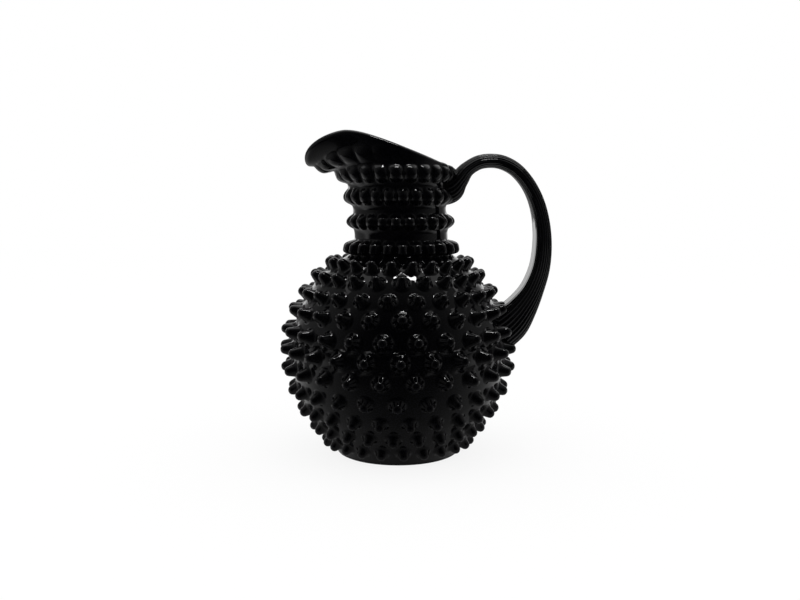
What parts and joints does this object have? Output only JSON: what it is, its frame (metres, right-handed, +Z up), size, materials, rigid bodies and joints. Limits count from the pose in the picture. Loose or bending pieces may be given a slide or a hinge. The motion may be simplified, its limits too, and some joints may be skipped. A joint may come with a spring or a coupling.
{
  "type": "hobnail jug",
  "caption": "Round glass jug with pointed hobs all over the bulb, a beaded neck, a pulled pouring spout and an applied reeded strap handle.",
  "frame": {"origin": "middle of the ground base disc, on the jug's upright axis", "axes": "+Z up along the jug's axis, -X towards the spout, +X towards the handle"},
  "size_m": [0.2052, 0.1778, 0.2401],
  "materials": {
    "black_glass": "opaque black glass, fire polished"
  },
  "bodies": {
    "root": {"body": "black_glass", "bulb_hobs": "black_glass", "neck_beads": "black_glass", "handle": "black_glass"}
  },
  "joints": []
}
